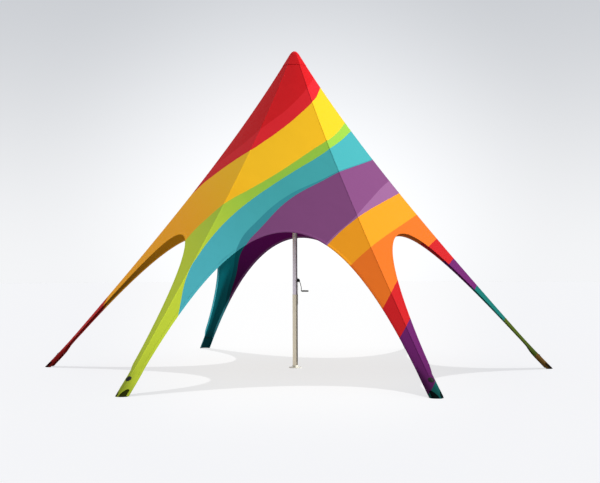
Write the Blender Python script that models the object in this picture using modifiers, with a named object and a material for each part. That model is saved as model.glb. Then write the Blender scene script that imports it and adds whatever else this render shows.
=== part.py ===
"""Star tent: a printed cloth canopy with six legs, held up by one mast with a crank.

Metres, +Z up. The origin is on the ground under the mast. The front archway faces -Y.
The canopy is sewn from six equal gores. Each gore spans two legs, with a seam along both
of its ridges and an archway cut out of its lower edge.
"""
import bpy
import bmesh
from math import atan, cos, pi, radians, sin, sqrt, tan
from mathutils import Matrix, Vector

# Driving dimensions of the canopy.
LEG_COUNT = 6
REACH = 4.00             # mast axis to where the line of a ridge would meet the ground
TOE_KICK = 0.04          # how much further out a leg's end is, as it flattens to its peg
TOE_HEIGHT = 0.60        # the ridge starts to kick out at this height
PEAK = 5.11              # height of the point where the six ridges would meet
RIDGE_SAG = 0.177        # how far a ridge hangs in from a straight line, at half height
RIDGE_SKEW = 0.365       # 0 is a sag that is even up and down; more moves it to the peak
BULGE = 0.12             # 0 is a flat gore across its ridges, 1 is a round cone
ARCH_CROWN = 2.10        # height of the archways
ARCH_HALF = 1.88         # half width of an archway where its edge meets the ground
CLOTH = 0.005            # thickness of the solid that stands for the cloth
SEAM_GAP = 0.0003        # room between two pieces that touch
LEG_TOP = 1.95           # the gore is parted here into its roof and its two legs
ROOF_TOP = 4.86          # the roof gores end here, under the peak cap

# Peak cap: heights and corner radii of the rings of its outside and of its hollow.
CAP_OUTSIDE = ((4.955, 0.093), (4.985, 0.075), (5.010, 0.058), (5.030, 0.034))
CAP_HOLLOW = ((4.935, 0.086), (4.975, 0.058))
CAP_TIP = 5.042
CAP_HEM = 0.012          # thickness of its lower rim, in a level cut
CAP_CEILING = 0.018      # radius of the flat that the mast head pushes on

# Feet.
BOW_HEIGHT = 0.20        # the stiff round bow that spreads a leg's end
FOOT_RADIUS = 0.095      # outside radius of the leg's cloth over its bow
FOOT_WRAP = 1.18         # how much further round its bow the cloth reaches there
ROUNDING_TOP = 0.55      # the ridge starts to turn from sharp to round at this height
FOOT_CUT = 0.09          # height of the arch cut out of each strip's lower end
BOW_WALL = 0.003
STUD_RADIUS = 0.016
STUD_HEIGHT = 0.009
STUD_TOP = 0.55          # radius of its flat top, as a part of its foot's
STUD_RISE = 0.010        # middle of the stud, above the bow's top

# Mast.
UPPER_RADIUS = 0.038
LOWER_RADIUS = 0.041
TUBE_WALL = 0.0022
LOWER_TOP = 1.16         # top of the lower tube, where the upper one slides in
UPPER_FOOT = 0.62        # the upper tube's lower end at rest, inside the lower tube
HEAD_SEAT = 4.83         # the mast head sits on the upper tube at this height
HEAD_TOP = 5.015         # its flat top pushes up the ceiling of the peak cap
BASE_RADIUS = 0.100
BASE_THICK = 0.008
BASE_EDGE = 0.003        # chamfer round the plate's upper side
COLLAR_HEIGHT = 0.030
COLLAR_WALL = 0.004
HEAD_DOME = ((0.014, 0.0), (0.026, 0.019), (0.040, 0.047), (0.056, 0.080), (0.062, 0.100))

# Crank, on the mast's right side.
CRANK_HEIGHT = 1.385
RACK_FOOT = 1.00
RACK_TOP = 1.43
RACK_X = LOWER_RADIUS + SEAM_GAP
RACK_THICK = 0.005
RACK_HALF = 0.008
RACK_PITCH = 0.045
RACK_HOLE = 0.005
GEARBOX_HALF = 0.020
GEARBOX_HEIGHT = 0.055
GEARBOX_DEPTH = 0.018    # of its solid part, outside the rack strip
GEARBOX_EDGE = 0.002
RACK_ROOM = 0.003        # the housing slides past the rack strip this far off it
SHAFT_RADIUS = 0.006
SHAFT_DEPTH = 0.012      # how far the crank's shaft reaches into the housing
BOSS_RADIUS = 0.013
BOSS_LENGTH = 0.010
END_PLAY = 0.001         # along the shaft and the grip's pin
CRANK_DROP = 0.170       # from the shaft's axis down to the grip's
CRANK_OFFSET = 0.026     # how far the arm's bend carries it outwards
BEND_START = 0.55        # the arm bends between these shares of its drop
BEND_END = 0.70
CRANK_ROD = 0.0055
GRIP_RADIUS = 0.0125
GRIP_LENGTH = 0.105
GRIP_PIN = 0.0045
PIN_HEAD_RADIUS = 0.008
PIN_HEAD_LENGTH = 0.003
OVERSHOOT = 0.01         # how far a cutter reaches past what it cuts

# Mesh fineness.
ROOF_ROWS = 14
ARCH_COLUMNS = 4         # from the archway's middle to where the roof's edge is level
RIDGE_COLUMNS = 3        # from there to the ridge
LEG_ROWS = 9             # above the foot's own rows
LEG_COLUMNS = 4
FOOT_ROWS = (0.0, 0.04, 0.09, 0.14, 0.20, 0.28, 0.37, 0.47, 0.58)
ROUND_SIDES = 32
STEP = 0.01              # half the height over which a slope is measured

HALF_GORE = pi / LEG_COUNT

LEG_NAMES = {
    "front_left": -30,
    "front_right": 30,
    "right": 90,
    "back_right": 150,
    "back_left": -150,
    "left": -90,
}
GORE_NAMES = {
    "front": 0,
    "front_right": 60,
    "back_right": 120,
    "back": 180,
    "back_left": -120,
    "front_left": -60,
}


def clear_scene():
    """Start from an empty scene."""
    for thing in list(bpy.data.objects):
        bpy.data.objects.remove(thing, do_unlink=True)


def new_collection(name):
    group = bpy.data.collections.new(name)
    bpy.context.scene.collection.children.link(group)
    return group


def finish_of(name, colour, roughness, metallic=0.0):
    """A plain material in the piece's own colour."""
    material = bpy.data.materials.new(name)
    material.use_nodes = True
    shader = material.node_tree.nodes["Principled BSDF"]
    shader.inputs["Base Color"].default_value = (*colour, 1.0)
    shader.inputs["Roughness"].default_value = roughness
    shader.inputs["Metallic"].default_value = metallic
    material.diffuse_color = (*colour, 1.0)
    return material


def add_mesh(bm, name, material, group, smooth=True):
    """Turn a bmesh into a named object with its material, its faces pointing out."""
    bmesh.ops.recalc_face_normals(bm, faces=bm.faces[:])
    if bm.calc_volume(signed=True) < 0:
        bmesh.ops.reverse_faces(bm, faces=bm.faces[:])
    mesh = bpy.data.meshes.new(name)
    bm.to_mesh(mesh)
    bm.free()
    mesh.materials.append(material)
    if smooth:
        mesh.shade_smooth()
        mesh.set_sharp_from_angle(angle=radians(35))
    piece = bpy.data.objects.new(name, mesh)
    group.objects.link(piece)
    return piece


def heading(angle):
    """Unit vector on the ground at an angle from the front, turning towards +X."""
    return Vector((sin(angle), -cos(angle), 0.0))


def ridge_radius(height):
    """Distance from the mast axis to a ridge at a height.

    The ridge hangs in from the straight line from peak to tip, most of all near the peak,
    and kicks out at its foot.
    """
    rise = height / PEAK
    sag = 4 * RIDGE_SAG * rise * (1 - rise) * (1 + RIDGE_SKEW * (2 * rise - 1))
    kick = TOE_KICK * max(0.0, 1 - height / TOE_HEIGHT) ** 2
    return REACH * (1 - rise) - sag + kick


def half_chord(height):
    return ridge_radius(height) * sin(HALF_GORE)


def arch_edge(height):
    """Where the archway's edge cuts the gore, as a share of the half chord."""
    if height >= ARCH_CROWN:
        return 0.0
    return ARCH_HALF * sqrt(1 - height / ARCH_CROWN) / half_chord(height)


def gore_point(middle, share, height):
    """A point on the outside of a gore, share being -1 and 1 on its two ridges."""
    turn = atan(share * tan(HALF_GORE))
    flat = cos(HALF_GORE) / cos(turn)
    radius = ridge_radius(height) * ((1 - BULGE) * flat + BULGE)
    point = radius * heading(middle + turn)
    point.z = height
    return point


def ridge_slope(height):
    """How far a ridge comes in for each metre that it rises."""
    return (ridge_radius(height - STEP) - ridge_radius(height + STEP)) / (2 * STEP)


def steepness(height):
    """How much further a horizontal cut through the sloping cloth is than its thickness."""
    return sqrt(1 + ridge_slope(height) ** 2)


def cloth_solid(name, columns, rows, outside, inside, material, group):
    """A closed sheet: a grid laid on the outside, extruded to the inside.

    Its squares are split into triangles first, so that both sides are split alike.
    """
    bm = bmesh.new()
    across = len(columns) - 1
    down = len(rows) - 1
    bmesh.ops.create_grid(bm, x_segments=across, y_segments=down, size=1.0)
    bmesh.ops.triangulate(bm, faces=bm.faces[:], quad_method="FIXED")
    places = {}
    for vert in bm.verts:
        i = round((vert.co.x + 1) / 2 * across)
        j = round((vert.co.y + 1) / 2 * down)
        places[vert] = (columns[i], rows[j])
    front = bm.faces[:]
    made = bmesh.ops.extrude_face_region(bm, geom=front, use_keep_orig=True)
    for vert in [v for v in made["geom"] if isinstance(v, bmesh.types.BMVert)]:
        i = round((vert.co.x + 1) / 2 * across)
        j = round((vert.co.y + 1) / 2 * down)
        vert.co = inside(columns[i], rows[j])
    for vert, (column, row) in places.items():
        vert.co = outside(column, row)
    return add_mesh(bm, name, material, group)


def make_roof_gore(name, middle, material, group):
    """One gore above its archway, from LEG_TOP up to the peak cap."""
    corner = arch_edge(LEG_TOP + SEAM_GAP)
    reach = range(-ARCH_COLUMNS, ARCH_COLUMNS + 1)
    inner = [corner * k / ARCH_COLUMNS for k in reach]
    beside = (1 - corner) / RIDGE_COLUMNS
    outer = [corner + beside * k for k in range(1, RIDGE_COLUMNS + 1)]
    columns = [-share for share in reversed(outer)] + inner + outer
    rows = [k / ROOF_ROWS for k in range(ROOF_ROWS + 1)]

    def bottom(share):
        """Height of the gore's lower edge: level beside the archway, arched over it."""
        height = LEG_TOP + SEAM_GAP
        if abs(share) >= corner:
            return height
        low, high = height, ARCH_CROWN
        for _ in range(40):
            height = (low + high) / 2
            if arch_edge(height) > abs(share):
                low = height
            else:
                high = height
        return height

    def spot(share, row, inset):
        foot = bottom(share)
        height = foot + (ROOF_TOP - foot) * row
        room = 1 - SEAM_GAP / 2 / half_chord(height)
        kept = max(-room, min(room, share))
        point = gore_point(middle, kept, height)
        level = Vector((point.x, point.y, 0.0))
        depth = inset * steepness(height)
        return point - level.normalized() * depth

    return cloth_solid(
        name,
        columns,
        rows,
        lambda share, row: spot(share, row, 0.0),
        lambda share, row: spot(share, row, CLOTH),
        material,
        group,
    )


def rounding(height):
    """How far a leg's ridge has turned from a sharp fold into a round."""
    share = (ROUNDING_TOP - height) / (ROUNDING_TOP - BOW_HEIGHT)
    share = max(0.0, min(1.0, share))
    return share * share * (3 - 2 * share)


def leg_point(angle, side, part, height, inset, room):
    """A point on one side of the leg at an angle, inset into the cloth's thickness.

    part is 0 on the ridge and 1 on the archway's edge. room holds a piece off its ridge.
    """
    share = 1 - (1 - arch_edge(height)) * part
    width = (1 - share) * half_chord(height)
    ridge = heading(angle)
    along = side * Vector((-ridge.y, ridge.x, 0.0))
    depth = inset * steepness(height)
    folded = gore_point(angle + side * HALF_GORE, -side * share, height) - ridge * depth
    turn = width * FOOT_WRAP / FOOT_RADIUS
    radius = FOOT_RADIUS - depth
    centre = ridge * (ridge_radius(height) - FOOT_RADIUS)
    curved = centre + ridge * (radius * cos(turn)) + along * (radius * sin(turn))
    curved.z = height
    return folded.lerp(curved, rounding(height)) + along * (room * (1 - part))


def over_cut(part, height):
    """The height that a point of a strip is moved up to by the arch cut at its foot."""
    return height + FOOT_CUT * 4 * part * (1 - part) * max(0.0, 1 - height / BOW_HEIGHT)


def make_leg_half(name, angle, side, material, group):
    """Half a leg: the narrow strip of a gore beside its archway."""
    columns = sorted(side * k / LEG_COLUMNS for k in range(LEG_COLUMNS + 1))
    last = FOOT_ROWS[-1]
    above = [last + (LEG_TOP - last) * k / LEG_ROWS for k in range(1, LEG_ROWS + 1)]
    rows = list(FOOT_ROWS) + above

    def spot(column, height, inset):
        part = abs(column)
        return leg_point(angle, side, part, over_cut(part, height), inset, SEAM_GAP / 2)

    return cloth_solid(
        name,
        columns,
        rows,
        lambda column, height: spot(column, height, 0.0),
        lambda column, height: spot(column, height, CLOTH),
        material,
        group,
    )


def make_peak_cap(material, group):
    """The doubled cloth at the peak that the mast head pushes up: a six-sided hood."""
    bottom = ROOF_TOP + SEAM_GAP
    foot = ridge_radius(bottom)
    ceiling = HEAD_TOP + SEAM_GAP
    bm = bmesh.new()
    outline = [(bottom, foot), *CAP_OUTSIDE]
    hollow = [(bottom, foot - CAP_HEM), *CAP_HOLLOW, (ceiling, CAP_CEILING)]
    rings = [cap_ring(bm, height, radius) for height, radius in outline]
    tip = bm.verts.new((0.0, 0.0, CAP_TIP))
    inner = [cap_ring(bm, height, radius) for height, radius in hollow]
    roof = bm.verts.new((0.0, 0.0, ceiling))
    for low, high in zip(rings, rings[1:]):
        join_rings(bm, low, high)
    for low, high in zip(inner, inner[1:]):
        join_rings(bm, low, high)
    join_rings(bm, rings[0], inner[0])
    close_ring(bm, rings[-1], tip)
    close_ring(bm, inner[-1], roof)
    return add_mesh(bm, "peak_cap", material, group)


def cap_ring(bm, height, radius):
    """A twelve-point ring with the gores' own section: a corner and a middle in turn."""
    ring = []
    for k in range(2 * LEG_COUNT):
        middle = k % 2 == 0
        flat = (1 - BULGE) * cos(HALF_GORE) + BULGE if middle else 1.0
        point = radius * flat * heading(k * HALF_GORE)
        ring.append(bm.verts.new((point.x, point.y, height)))
    return ring


def join_rings(bm, low, high):
    for k in range(len(low)):
        after = (k + 1) % len(low)
        bm.faces.new((low[k], low[after], high[after], high[k]))


def close_ring(bm, ring, tip):
    for k in range(len(ring)):
        bm.faces.new((ring[k], ring[(k + 1) % len(ring)], tip))


def make_foot_bow(name, angle, material, group):
    """The stiff round bow inside a leg's end, which keeps the foot spread."""
    most = LEG_COLUMNS - 1
    columns = [k / LEG_COLUMNS for k in range(-most, most + 1)]
    rows = [height for height in FOOT_ROWS if height < BOW_HEIGHT]
    rows.append(BOW_HEIGHT)
    seat = CLOTH + 2 * SEAM_GAP

    def spot(column, height, inset):
        side = 1 if column > 0 else -1
        return leg_point(angle, side, abs(column), height, inset, 0.0)

    return cloth_solid(
        name,
        columns,
        rows,
        lambda column, height: spot(column, height, seat),
        lambda column, height: spot(column, height, seat + BOW_WALL),
        material,
        group,
    )


def make_foot_stud(name, angle, material, group):
    """The round head of the rivet that pins the cloth to its bow, on the ridge."""
    height = BOW_HEIGHT + STUD_RISE
    ridge = heading(angle)
    outward = (ridge + Vector((0.0, 0.0, ridge_slope(height)))).normalized()
    place = ridge * ridge_radius(height)
    place.z = height
    bm = bmesh.new()
    bmesh.ops.create_cone(
        bm,
        cap_ends=True,
        segments=12,
        radius1=STUD_RADIUS,
        radius2=STUD_RADIUS * STUD_TOP,
        depth=STUD_HEIGHT,
    )
    turn = outward.to_track_quat("Z", "Y").to_matrix().to_4x4()
    seat = place + outward * (STUD_HEIGHT / 2 + 2 * SEAM_GAP)
    bm.transform(Matrix.Translation(seat) @ turn)
    return add_mesh(bm, name, material, group)


def turned(name, profile, material, group):
    """A piece turned about the mast's axis: a profile swept with a Screw.

    A profile that starts on the axis also ends there; any other is closed on itself.
    """
    mesh = bpy.data.meshes.new(name)
    edges = [(k, k + 1) for k in range(len(profile) - 1)]
    if profile[0][0] > 0:
        edges.append((len(profile) - 1, 0))
    mesh.from_pydata([(radius, 0.0, height) for radius, height in profile], edges, [])
    mesh.materials.append(material)
    piece = bpy.data.objects.new(name, mesh)
    group.objects.link(piece)
    screw = piece.modifiers.new("turn", "SCREW")
    screw.axis = "Z"
    screw.steps = ROUND_SIDES
    screw.render_steps = ROUND_SIDES
    screw.use_merge_vertices = True
    screw.merge_threshold = 0.0001
    screw.use_smooth_shade = False
    return piece


def tube_profile(radius, wall, bottom, top):
    """Outer side from top to bottom, then the bore back up."""
    return [
        (radius, top),
        (radius, bottom),
        (radius - wall, bottom),
        (radius - wall, top),
    ]


def make_mast(finishes, root, moving, group):
    """Base plate, lower tube and collar stand still; the upper tube and head slide."""
    alloy = finishes["alloy"]
    plate = [(0.0, BASE_THICK), (BASE_RADIUS - BASE_EDGE, BASE_THICK)]
    plate += [(BASE_RADIUS, BASE_THICK - BASE_EDGE), (BASE_RADIUS, 0.0), (0.0, 0.0)]
    pieces = [turned("base_plate", plate, finishes["plate"], group)]
    foot = BASE_THICK + SEAM_GAP
    lower = tube_profile(LOWER_RADIUS, TUBE_WALL, foot, LOWER_TOP)
    pieces.append(turned("mast_lower_tube", lower, alloy, group))
    collar = tube_profile(
        LOWER_RADIUS + SEAM_GAP + COLLAR_WALL,
        COLLAR_WALL,
        foot,
        foot + COLLAR_HEIGHT,
    )
    pieces.append(turned("base_socket", collar, finishes["plate"], group))
    for piece in pieces:
        piece.parent = root
    upper = tube_profile(UPPER_RADIUS, TUBE_WALL, UPPER_FOOT, HEAD_SEAT - SEAM_GAP)
    tube = turned("mast_upper_tube", upper, alloy, group)
    dome = [(0.0, HEAD_TOP)]
    dome += [(radius, HEAD_TOP - drop) for radius, drop in HEAD_DOME]
    dome += [(HEAD_DOME[-1][0], HEAD_SEAT), (0.0, HEAD_SEAT)]
    head = turned("mast_head", dome, finishes["black"], group)
    for piece in (tube, head):
        piece.parent = moving


def box(bm, low, high):
    """A box between two corners."""
    made = bmesh.ops.create_cube(bm, size=1.0)
    middle = [(a + b) / 2 for a, b in zip(low, high)]
    size = [b - a for a, b in zip(low, high)]
    bmesh.ops.scale(bm, vec=size, verts=made["verts"])
    bmesh.ops.translate(bm, vec=middle, verts=made["verts"])


def rod(bm, start, end, radius, sides=16):
    """A round bar between two points."""
    start = Vector(start)
    end = Vector(end)
    span = end - start
    turn = span.to_track_quat("Z", "Y").to_matrix().to_4x4()
    place = Matrix.Translation((start + end) / 2) @ turn
    bmesh.ops.create_cone(
        bm,
        cap_ends=True,
        segments=sides,
        radius1=radius,
        radius2=radius,
        depth=span.length,
        matrix=place,
    )


def cut_with(piece, cutter):
    """Take one shape away from another."""
    cut = piece.modifiers.new("cut", "BOOLEAN")
    cut.operation = "DIFFERENCE"
    cut.solver = "EXACT"
    cut.object = cutter
    cutter.hide_render = True
    cutter.display_type = "WIRE"


def join_with(piece, helper):
    """Weld a second shape onto a piece."""
    weld = piece.modifiers.new("weld", "BOOLEAN")
    weld.operation = "UNION"
    weld.solver = "EXACT"
    weld.object = helper
    helper.hide_render = True
    helper.display_type = "WIRE"


def make_rack(finishes, root, group, cutters):
    """The perforated steel strip on the lower tube that the crank's gear climbs."""
    bm = bmesh.new()
    box(bm, (RACK_X, -RACK_HALF, RACK_FOOT), (RACK_X + RACK_THICK, RACK_HALF, RACK_TOP))
    strip = add_mesh(bm, "rack_strip", finishes["steel"], group, smooth=False)
    holes = bmesh.new()
    count = int((RACK_TOP - LOWER_TOP) / RACK_PITCH)
    for k in range(count):
        height = LOWER_TOP + RACK_PITCH * (k + 0.5)
        start = (RACK_X - OVERSHOOT, 0.0, height)
        end = (RACK_X + RACK_THICK + OVERSHOOT, 0.0, height)
        rod(holes, start, end, RACK_HOLE, sides=12)
    cutter = add_mesh(holes, "rack_holes", finishes["steel"], cutters)
    cut_with(strip, cutter)
    strip.parent = root


def make_gearbox(finishes, moving, group, cutters):
    """The black gear housing on the upper tube, saddled over the rack strip."""
    near = sqrt(UPPER_RADIUS ** 2 - GEARBOX_HALF ** 2)
    low = CRANK_HEIGHT - GEARBOX_HEIGHT / 2
    high = CRANK_HEIGHT + GEARBOX_HEIGHT / 2
    face = RACK_X + RACK_THICK + RACK_ROOM
    outer = face + GEARBOX_DEPTH
    bm = bmesh.new()
    box(bm, (near, -GEARBOX_HALF, low), (outer, GEARBOX_HALF, high))
    body = add_mesh(bm, "gear_housing", finishes["black"], group, smooth=False)
    edge = body.modifiers.new("soft edges", "BEVEL")
    edge.width = GEARBOX_EDGE
    edge.segments = 1
    edge.limit_method = "ANGLE"
    slot = bmesh.new()
    side = RACK_HALF + RACK_ROOM
    below, above = low - OVERSHOOT, high + OVERSHOOT
    box(slot, (near - OVERSHOOT, -side, below), (face, side, above))
    cut_with(body, add_mesh(slot, "rack_slot", finishes["black"], cutters, smooth=False))
    saddle = bmesh.new()
    fit = UPPER_RADIUS + SEAM_GAP
    rod(saddle, (0.0, 0.0, below), (0.0, 0.0, above), fit, sides=ROUND_SIDES)
    cut_with(body, add_mesh(saddle, "tube_saddle", finishes["black"], cutters))
    bore = bmesh.new()
    end = (outer + OVERSHOOT, 0.0, CRANK_HEIGHT)
    floor = (outer - SHAFT_DEPTH - END_PLAY, 0.0, CRANK_HEIGHT)
    rod(bore, floor, end, SHAFT_RADIUS + SEAM_GAP, sides=24)
    cut_with(body, add_mesh(bore, "shaft_bore", finishes["black"], cutters))
    body.parent = moving
    return outer


def make_crank(finishes, outer_face, crank, grip_axis, group, cutters):
    """Shaft, boss and dog-leg arm in one forging, with a grip that spins on its pin."""
    axis = CRANK_HEIGHT
    shaft_start = outer_face - SHAFT_DEPTH
    boss_start = outer_face + END_PLAY
    boss_end = boss_start + BOSS_LENGTH
    boss_middle = (boss_start + boss_end) / 2
    elbow_x = boss_middle + CRANK_OFFSET
    bm = bmesh.new()
    rod(bm, (shaft_start, 0, axis), (boss_middle, 0, axis), SHAFT_RADIUS, sides=24)
    arm = add_mesh(bm, "crank_arm", finishes["steel"], group)
    boss = bmesh.new()
    rod(boss, (boss_start, 0, axis), (boss_end, 0, axis), BOSS_RADIUS, sides=24)
    join_with(arm, add_mesh(boss, "crank_boss", finishes["steel"], cutters))
    height = axis - CRANK_DROP
    route = [
        Vector((boss_middle, 0, axis - BOSS_RADIUS / 3)),
        Vector((elbow_x - CRANK_OFFSET / 6, 0, axis - CRANK_DROP * BEND_START)),
        Vector((elbow_x, 0, axis - CRANK_DROP * BEND_END)),
        Vector((elbow_x, 0, height - CRANK_ROD)),
    ]
    bar = swept_bar("crank_bar", route, CRANK_ROD, finishes["steel"], cutters)
    join_with(arm, bar)
    near = elbow_x + CRANK_ROD + END_PLAY
    far = near + GRIP_LENGTH
    pin = bmesh.new()
    head_start = far + END_PLAY
    head_end = head_start + PIN_HEAD_LENGTH
    rod(pin, (elbow_x - CRANK_ROD, 0, height), (head_end, 0, height), GRIP_PIN, sides=20)
    join_with(arm, add_mesh(pin, "crank_pin", finishes["steel"], cutters))
    head = bmesh.new()
    rod(head, (head_start, 0, height), (head_end, 0, height), PIN_HEAD_RADIUS, sides=20)
    join_with(arm, add_mesh(head, "pin_head", finishes["steel"], cutters))
    arm.parent = crank
    hand = bmesh.new()
    rod(hand, (near, 0, height), (far, 0, height), GRIP_RADIUS, sides=24)
    grip = add_mesh(hand, "crank_grip", finishes["black"], group)
    hole = bmesh.new()
    ends = near - OVERSHOOT, far + OVERSHOOT
    rod(hole, (ends[0], 0, height), (ends[1], 0, height), GRIP_PIN + SEAM_GAP, sides=20)
    cut_with(grip, add_mesh(hole, "grip_bore", finishes["black"], cutters))
    grip.parent = grip_axis


def swept_bar(name, route, radius, material, group):
    """A bent round bar: a curve with a bevel, turned into a closed mesh."""
    curve = bpy.data.curves.new(name, "CURVE")
    curve.dimensions = "3D"
    curve.bevel_depth = radius
    curve.bevel_resolution = 3
    curve.render_resolution_u = 0
    curve.use_fill_caps = True
    spline = curve.splines.new("POLY")
    spline.points.add(len(route) - 1)
    for point, place in zip(spline.points, route):
        point.co = (*place, 1.0)
    helper = bpy.data.objects.new(name + "_path", curve)
    group.objects.link(helper)
    bpy.context.view_layer.update()
    solid = bpy.data.meshes.new_from_object(
        helper.evaluated_get(bpy.context.evaluated_depsgraph_get())
    )
    bm = bmesh.new()
    bm.from_mesh(solid)
    bmesh.ops.remove_doubles(bm, verts=bm.verts[:], dist=0.00001)
    bpy.data.objects.remove(helper, do_unlink=True)
    return add_mesh(bm, name, material, group)


def empty(name, place, parent, group):
    """A joint's axis."""
    marker = bpy.data.objects.new(name, None)
    marker.empty_display_size = 0.1
    group.objects.link(marker)
    marker.parent = parent
    marker.location = place
    return marker


def keep_in_place(piece):
    """Undo a parent's offset, so that a mesh drawn in world metres stays where it is."""
    chain = piece.parent
    shift = Vector((0.0, 0.0, 0.0))
    while chain is not None:
        shift += chain.location
        chain = chain.parent
    piece.location = -shift


def build():
    clear_scene()
    tent = new_collection("star tent")
    cutters = new_collection("cutters")
    finishes = {
        "alloy": finish_of("satin aluminium", (0.62, 0.60, 0.58), 0.35, 1.0),
        "plate": finish_of("painted plate", (0.80, 0.79, 0.74), 0.5),
        "steel": finish_of("zinc plated steel", (0.45, 0.44, 0.43), 0.4, 1.0),
        "black": finish_of("black nylon", (0.03, 0.03, 0.035), 0.5),
    }
    cloth = {
        "front": finish_of("printed cloth front", (0.36, 0.55, 0.10), 0.7),
        "front_right": finish_of("printed cloth front right", (0.90, 0.45, 0.05), 0.7),
        "back_right": finish_of("printed cloth back right", (0.60, 0.05, 0.05), 0.7),
        "back": finish_of("printed cloth back", (0.10, 0.45, 0.50), 0.7),
        "back_left": finish_of("printed cloth back left", (0.30, 0.08, 0.35), 0.7),
        "front_left": finish_of("printed cloth front left", (0.75, 0.30, 0.03), 0.7),
    }
    root = empty("tent_axis", (0.0, 0.0, 0.0), None, tent)
    moving = empty("mast_slide_axis", (0.0, 0.0, LOWER_TOP), root, tent)
    for name, degrees_round in GORE_NAMES.items():
        middle = radians(degrees_round)
        make_roof_gore("panel_" + name, middle, cloth[name], tent).parent = root
        for side, word in ((1, "left"), (-1, "right")):
            label = "panel_" + name + "_leg_" + word
            angle = middle - side * HALF_GORE
            make_leg_half(label, angle, side, cloth[name], tent).parent = root
    make_peak_cap(cloth["back_right"], tent).parent = root
    for name, degrees_round in LEG_NAMES.items():
        angle = radians(degrees_round)
        make_foot_bow("foot_bow_" + name, angle, finishes["alloy"], tent).parent = root
        make_foot_stud("foot_stud_" + name, angle, finishes["black"], tent).parent = root
    make_mast(finishes, root, moving, tent)
    make_rack(finishes, root, tent, cutters)
    outer_face = make_gearbox(finishes, moving, tent, cutters)
    crank = empty("crank_axis", (outer_face, 0.0, CRANK_HEIGHT - LOWER_TOP), moving, tent)
    grip_axis = empty("grip_axis", (2 * CRANK_OFFSET, 0.0, -CRANK_DROP), crank, tent)
    make_crank(finishes, outer_face, crank, grip_axis, tent, cutters)
    for piece in tent.objects:
        if piece.type == "MESH":
            keep_in_place(piece)


build()
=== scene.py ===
"""Star tent: printed cloth stretched from one cranked mast down to six pegged legs.

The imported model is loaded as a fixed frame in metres, +Z up, with the front archway
facing -Y. The sections follow the tent from its cloth to its feet, mast and crank.
"""
from math import atan, cos, hypot, pi, radians, sin, sqrt, tan

import bmesh
import bpy
from mathutils import Matrix, Vector


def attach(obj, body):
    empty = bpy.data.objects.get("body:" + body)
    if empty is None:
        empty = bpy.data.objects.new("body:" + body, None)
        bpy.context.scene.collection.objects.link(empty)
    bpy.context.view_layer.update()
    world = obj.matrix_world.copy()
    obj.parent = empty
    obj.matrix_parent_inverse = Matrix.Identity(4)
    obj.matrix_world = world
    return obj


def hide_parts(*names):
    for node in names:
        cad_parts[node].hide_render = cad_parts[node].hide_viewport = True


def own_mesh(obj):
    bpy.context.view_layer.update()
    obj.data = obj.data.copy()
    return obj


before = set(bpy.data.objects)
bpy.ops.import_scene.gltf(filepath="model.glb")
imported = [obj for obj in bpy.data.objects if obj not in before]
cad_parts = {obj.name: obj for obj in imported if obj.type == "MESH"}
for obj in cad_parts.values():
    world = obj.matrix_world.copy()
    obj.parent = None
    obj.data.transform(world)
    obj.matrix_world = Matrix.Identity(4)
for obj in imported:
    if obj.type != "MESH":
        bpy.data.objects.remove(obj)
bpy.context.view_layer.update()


# Camera. A level tripod at eye height, 16.1 m in front of the mast, with a short telephoto
# lens: the one place from which the leg tips, the mast's foot and the peak all line up.
CAMERA_PLACE = (1.030, -16.076, 1.734)
CAMERA_TILT = 0.0167
CAMERA_ROLL = 0.0030
CAMERA_TURN = 0.0590
CAMERA_SENSOR = 36.0     # mm, as the lens
CAMERA_LENS = 60.7
CAMERA_SIGHT = 300.0

camera_data = bpy.data.cameras.new("camera")
camera_data.sensor_width = CAMERA_SENSOR
camera_data.lens = CAMERA_LENS
camera_data.clip_end = CAMERA_SIGHT
camera = bpy.data.objects.new("camera", camera_data)
camera.location = CAMERA_PLACE
camera.rotation_euler = (pi / 2 + CAMERA_TILT, CAMERA_ROLL, CAMERA_TURN)
bpy.context.scene.collection.objects.link(camera)
bpy.context.scene.camera = camera
bpy.context.scene.view_settings.view_transform = "Standard"


# Studio. A white floor that runs into a pale backdrop, brightest in a wedge that widens to
# the back. An overhead light draws the star's shadow; a side light and a glow fill it in.
STUDIO_RADIUS = 60.0
FLOOR_DROP = 0.001
FLOOR_PAINT = "999999"       # what the lights add to the floor, over its own glow
FLOOR_FAR = "D3D4D7"
FLOOR_NEAR = "DFDFDF"
WEDGE_SIDE = 0.9             # the bright wedge's tip is this far right of the mast,
WEDGE_FRONT = 15.7           # and this far in front of it
WEDGE_LEAN = 0.0535          # how far it leans to the left for each metre back
WEDGE_HALF = (0.05, 0.23)    # its half width for each metre back, where full and where gone
WEDGE_DEPTH = (-8.0, -1.0)   # it comes in along y, from gone to full
BACKDROP_LOW = "F4F5F7"
BACKDROP_HIGH = "C9CCD1"
BACKDROP_RISE = 24.0
BACKDROP_GLOW = (0.20, 0.20, 0.20, 1.0)
GLOW_PLACE = (-3.5, STUDIO_RADIUS, 8.5)
GLOW_REACH = (2.0, 20.0)
ROOM_GLOW = (0.36, 0.36, 0.37, 1.0)
OVERHEAD = ((-0.095, 0.075, 0.45), 1.0)      # towards the light, and its softness in degrees
SIDEWAYS = ((1.02, -0.16, 0.45), 10.0)


def linear(code):
    """An sRGB hex colour as the linear colour that a shader takes."""
    channels = [int(code[k:k + 2], 16) / 255 for k in (0, 2, 4)]
    bent = [c / 12.92 if c <= 0.04045 else ((c + 0.055) / 1.055) ** 2.4 for c in channels]
    return (*bent, 1.0)


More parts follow.
